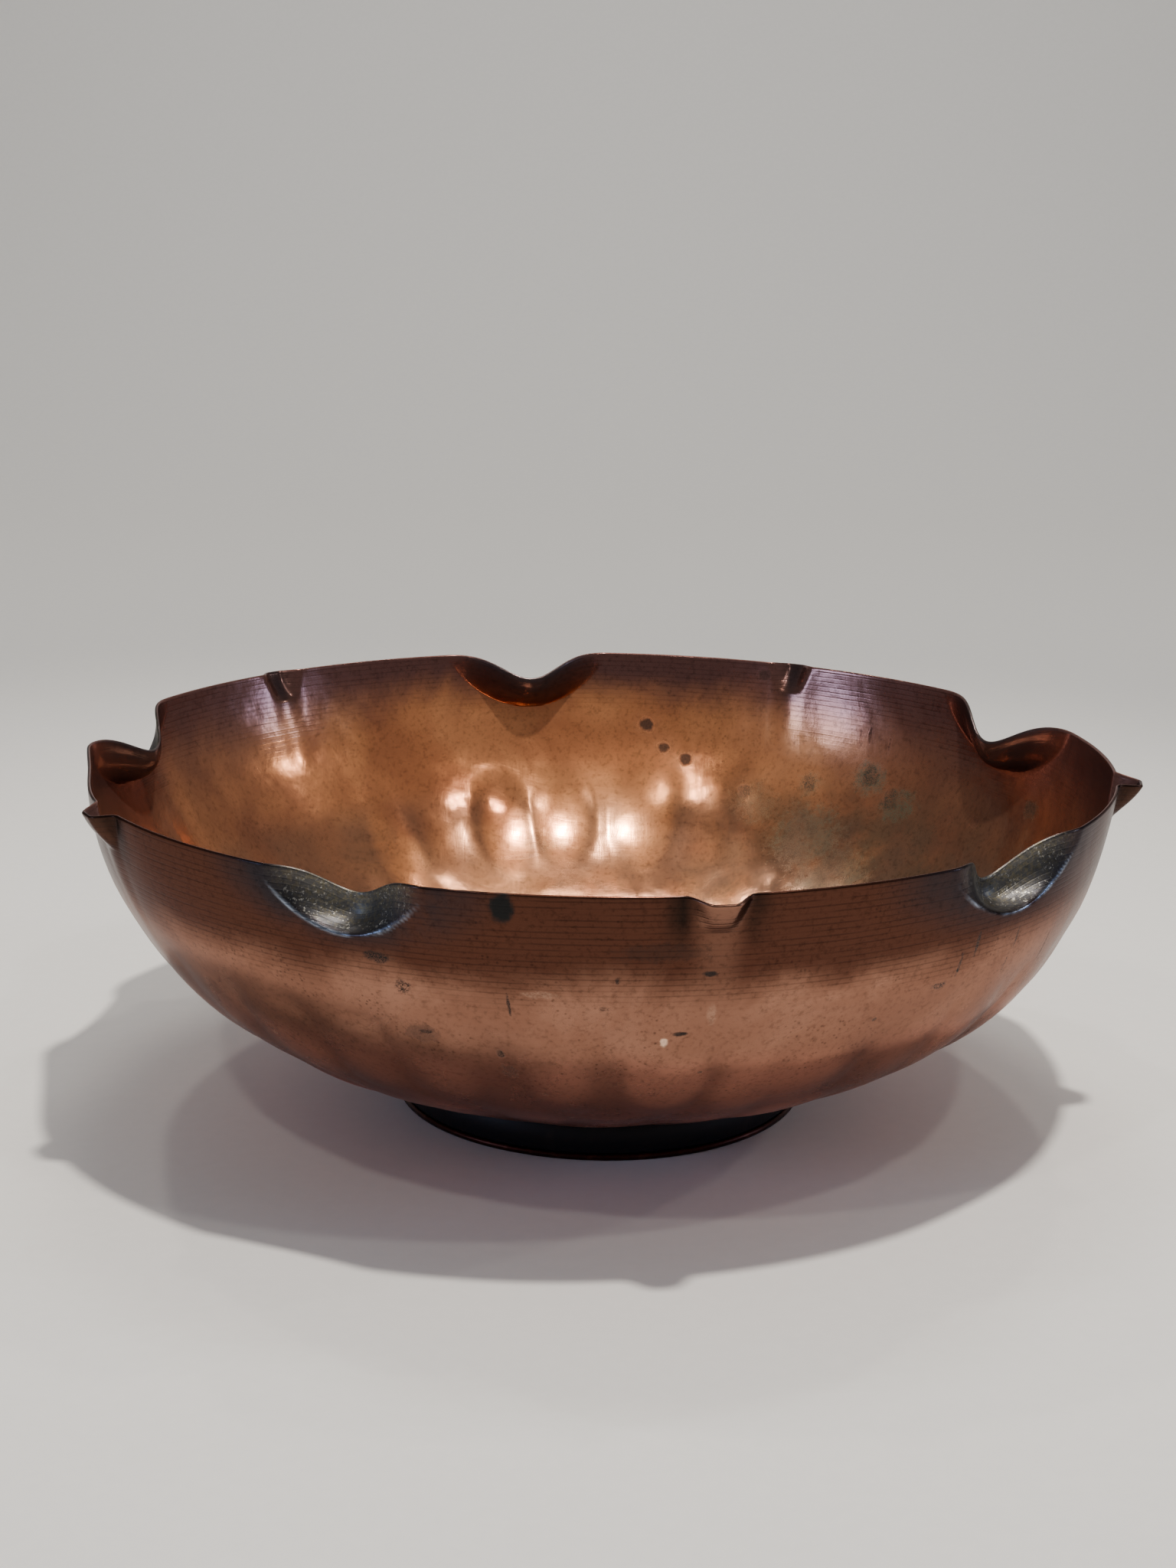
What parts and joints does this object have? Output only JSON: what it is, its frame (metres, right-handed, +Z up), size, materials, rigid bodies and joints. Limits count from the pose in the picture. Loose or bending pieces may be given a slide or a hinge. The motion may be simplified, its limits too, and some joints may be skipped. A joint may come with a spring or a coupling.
{
  "type": "footed bowl",
  "caption": "Round raised metal bowl with a scalloped, pinched rim and a low soldered foot ring.",
  "frame": {"origin": "centre of the foot, on the surface that the bowl stands on; the outline's own centre is within 1.1 mm of it", "axes": "+Z up along the foot's axis; -Y is the side with the beak that points at the viewer"},
  "size_m": [0.3117, 0.312, 0.107],
  "materials": {
    "hammered_copper": "hammered copper, warm brown patina outside, bright inside",
    "black_patina": "copper sheet with a dull black patina",
    "bare_copper": "dark red copper wire, lightly worn",
    "solder": "tarnished solder"
  },
  "bodies": {
    "root": {"bowl_body": "hammered_copper", "foot_ring": "black_patina", "foot_base_ring": "bare_copper", "foot_solder_seam": "solder"}
  },
  "joints": []
}
